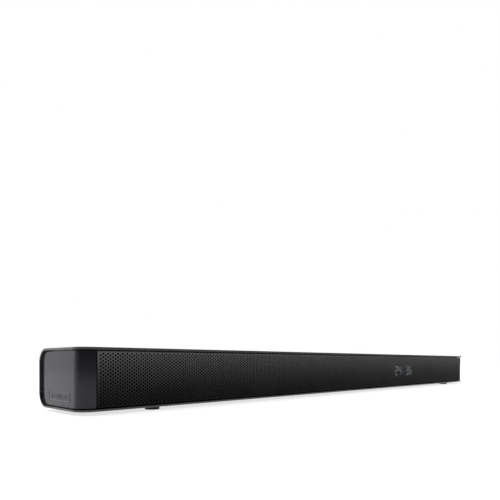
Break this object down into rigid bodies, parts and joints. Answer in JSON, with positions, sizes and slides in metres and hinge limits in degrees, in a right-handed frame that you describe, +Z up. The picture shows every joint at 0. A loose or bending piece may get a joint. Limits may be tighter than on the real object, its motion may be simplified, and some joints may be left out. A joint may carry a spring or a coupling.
{
  "type": "soundbar",
  "caption": "Long low soundbar: D-shaped wrap casing, perforated metal front over racetrack drivers, end caps, lit display, top keys and sockets in a rear recess.",
  "frame": {"origin": "under the middle of the bar, on the surface the feet stand on", "axes": "+X along the bar to the right seen from the front, +Z up, the grille faces -Y"},
  "size_m": [0.98, 0.095, 0.0655],
  "materials": {
    "black_casing": "fine texture",
    "end_cap_plastic": "satin",
    "grille_metal": "satin",
    "baffle_plastic": "matte",
    "screw_steel": "blackened",
    "nut_brass": "bright",
    "smoked_window": "polished",
    "display_light": "lit",
    "circuit_board": "solder mask",
    "receiver_lens": "polished",
    "heatsink_metal": "anodised",
    "transformer_wrap": "tape",
    "capacitor_sleeve": "sleeve",
    "socket_metal": "plated",
    "socket_plastic": "moulded",
    "key_plastic": "satin",
    "foot_rubber": "matte",
    "basket_steel": "black",
    "motor_metal": "plated",
    "cone_paper": "pulp",
    "coil_copper": "enamelled",
    "surround_rubber": "matte",
    "spider_cloth": "impregnated"
  },
  "bodies": {
    "casing": {"audio_jack": "socket_plastic", "bottom_casing": "black_casing", "capacitors": "capacitor_sleeve", "casing_screws": "screw_steel", "display_board": "circuit_board", "display_digits": "display_light", "display_window": "smoked_window", "driver_frame_1": "basket_steel", "driver_frame_2": "basket_steel", "driver_frame_3": "basket_steel", "driver_frame_4": "basket_steel", "driver_motor_1": "motor_metal", "driver_motor_2": "motor_metal", "driver_motor_3": "motor_metal", "driver_motor_4": "motor_metal", "foot_front_left": "foot_rubber", "foot_front_right": "foot_rubber", "foot_rear_left": "foot_rubber", "foot_rear_right": "foot_rubber", "front_baffle": "baffle_plastic", "front_grille": "grille_metal", "hdmi_sockets": "socket_metal", "heatsink": "heatsink_metal", "inner_screws": "screw_steel", "key_board": "circuit_board", "key_switches": "socket_plastic", "left_end_cap": "end_cap_plastic", "main_board": "circuit_board", "mains_inlet": "socket_plastic", "optical_socket": "socket_plastic", "power_board": "circuit_board", "rear_panel": "black_casing", "remote_receiver": "receiver_lens", "right_end_cap": "end_cap_plastic", "socket_panel": "baffle_plastic", "spider_1": "spider_cloth", "spider_2": "spider_cloth", "spider_3": "spider_cloth", "spider_4": "spider_cloth", "surround_1": "surround_rubber", "surround_2": "surround_rubber", "surround_3": "surround_rubber", "surround_4": "surround_rubber", "top_casing": "black_casing", "transformer": "transformer_wrap", "usb_socket": "socket_metal", "wall_nuts": "nut_brass", "wireless_module": "socket_metal"},
    "power_key_body": {"power_key": "key_plastic"},
    "source_key_body": {"source_key": "key_plastic"},
    "volume_down_key_body": {"volume_down_key": "key_plastic"},
    "volume_up_key_body": {"volume_up_key": "key_plastic"},
    "cone_assembly_1": {"cone_1": "cone_paper", "voice_coil_1": "coil_copper"},
    "cone_assembly_2": {"cone_2": "cone_paper", "voice_coil_2": "coil_copper"},
    "cone_assembly_3": {"cone_3": "cone_paper", "voice_coil_3": "coil_copper"},
    "cone_assembly_4": {"cone_4": "cone_paper", "voice_coil_4": "coil_copper"}
  },
  "joints": [
    {"name": "power_press", "type": "slide", "parent": "casing", "child": "power_key_body", "axis": [0, 0, -1], "range_m": [0, 0.0004], "stiffness_N_per_m": 600, "springref_m": -0.0002},
    {"name": "source_press", "type": "slide", "parent": "casing", "child": "source_key_body", "axis": [0, 0, -1], "range_m": [0, 0.0004], "stiffness_N_per_m": 600, "springref_m": -0.0002},
    {"name": "volume_down_press", "type": "slide", "parent": "casing", "child": "volume_down_key_body", "axis": [0, 0, -1], "range_m": [0, 0.0004], "stiffness_N_per_m": 600, "springref_m": -0.0002},
    {"name": "volume_up_press", "type": "slide", "parent": "casing", "child": "volume_up_key_body", "axis": [0, 0, -1], "range_m": [0, 0.0004], "stiffness_N_per_m": 600, "springref_m": -0.0002},
    {"name": "cone_1_travel", "type": "slide", "parent": "casing", "child": "cone_assembly_1", "axis": [0, -1, 0], "range_m": [-0.002, 0.002], "stiffness_N_per_m": 1500, "deforming": ["surround_1", "spider_1"]},
    {"name": "cone_2_travel", "type": "slide", "parent": "casing", "child": "cone_assembly_2", "axis": [0, -1, 0], "range_m": [-0.002, 0.002], "stiffness_N_per_m": 1500, "deforming": ["surround_2", "spider_2"]},
    {"name": "cone_3_travel", "type": "slide", "parent": "casing", "child": "cone_assembly_3", "axis": [0, -1, 0], "range_m": [-0.002, 0.002], "stiffness_N_per_m": 1500, "deforming": ["surround_3", "spider_3"]},
    {"name": "cone_4_travel", "type": "slide", "parent": "casing", "child": "cone_assembly_4", "axis": [0, -1, 0], "range_m": [-0.002, 0.002], "stiffness_N_per_m": 1500, "deforming": ["surround_4", "spider_4"]}
  ]
}
